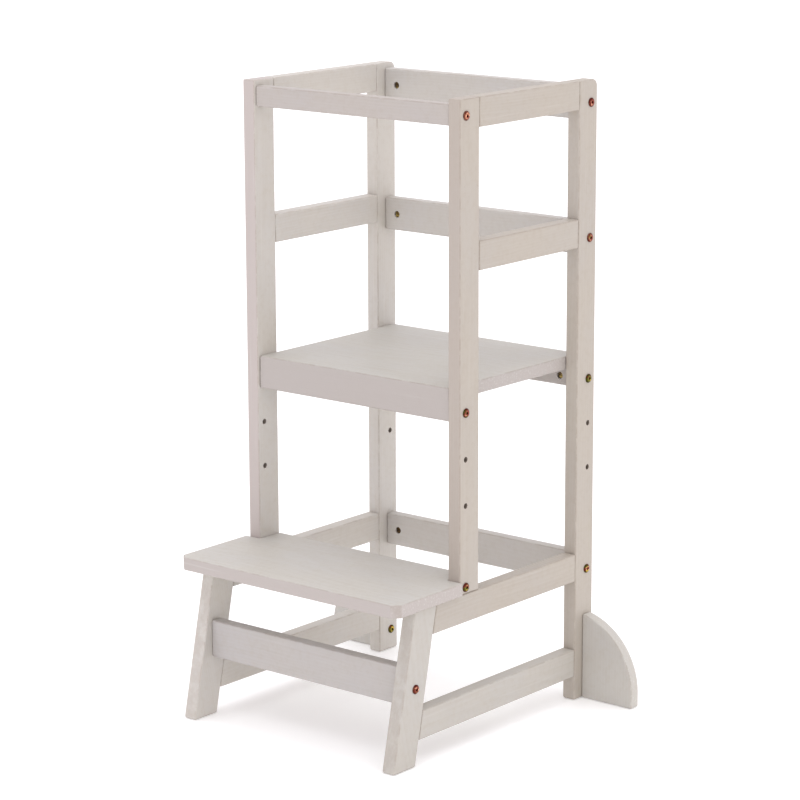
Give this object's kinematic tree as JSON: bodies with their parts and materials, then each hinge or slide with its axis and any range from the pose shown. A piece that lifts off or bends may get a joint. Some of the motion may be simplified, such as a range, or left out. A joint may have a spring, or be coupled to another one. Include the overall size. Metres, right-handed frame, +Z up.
{
  "type": "toddler kitchen helper stool",
  "caption": "Child's standing tower for a worktop: slanted step, height-adjustable platform, guard rails all round and stabilizers at the rear feet.",
  "frame": {"origin": "on the floor, under the middle of the whole stool's box", "axes": "+Z up; -Y towards the side the child climbs in from, where the step is; +X to the right of someone who faces the step"},
  "size_m": [0.565, 0.4536, 0.9],
  "materials": {
    "painted_wood": "thin white paint, satin, grain showing faintly",
    "dowel_wood": "bare beech",
    "plated_bolt": "yellow zinc plating",
    "barrel_nut": "yellow zinc plating, darkened"
  },
  "bodies": {
    "root": {"base_rear_rail": "painted_wood", "base_rear_rail_bolts": "plated_bolt", "base_rear_rail_nuts": "barrel_nut", "base_side_rail_left": "painted_wood", "base_side_rail_right": "painted_wood", "frame_dowels_left": "dowel_wood", "frame_dowels_right": "dowel_wood", "front_post_left": "painted_wood", "front_post_right": "painted_wood", "lower_side_rail_left": "painted_wood", "lower_side_rail_right": "painted_wood", "middle_rear_rail": "painted_wood", "middle_rear_rail_bolts": "plated_bolt", "middle_rear_rail_nuts": "barrel_nut", "middle_side_rail_left": "painted_wood", "middle_side_rail_right": "painted_wood", "platform_board": "painted_wood", "platform_bolts": "plated_bolt", "platform_dowels": "dowel_wood", "platform_front_cleat": "painted_wood", "platform_nuts": "barrel_nut", "platform_rear_cleat": "painted_wood", "rear_post_left": "painted_wood", "rear_post_right": "painted_wood", "stabilizer_bolts": "plated_bolt", "stabilizer_left": "painted_wood", "stabilizer_nuts": "barrel_nut", "stabilizer_right": "painted_wood", "step_board": "painted_wood", "step_board_bolts": "plated_bolt", "step_board_dowels": "dowel_wood", "step_board_nuts": "barrel_nut", "step_cross_rail": "painted_wood", "step_cross_rail_bolts": "plated_bolt", "step_cross_rail_nuts": "barrel_nut", "step_leg_left": "painted_wood", "step_leg_right": "painted_wood", "top_front_rail": "painted_wood", "top_front_rail_bolts": "plated_bolt", "top_front_rail_nuts": "barrel_nut", "top_rear_rail": "painted_wood", "top_rear_rail_bolts": "plated_bolt", "top_rear_rail_nuts": "barrel_nut", "top_side_rail_left": "painted_wood", "top_side_rail_right": "painted_wood"}
  },
  "joints": []
}
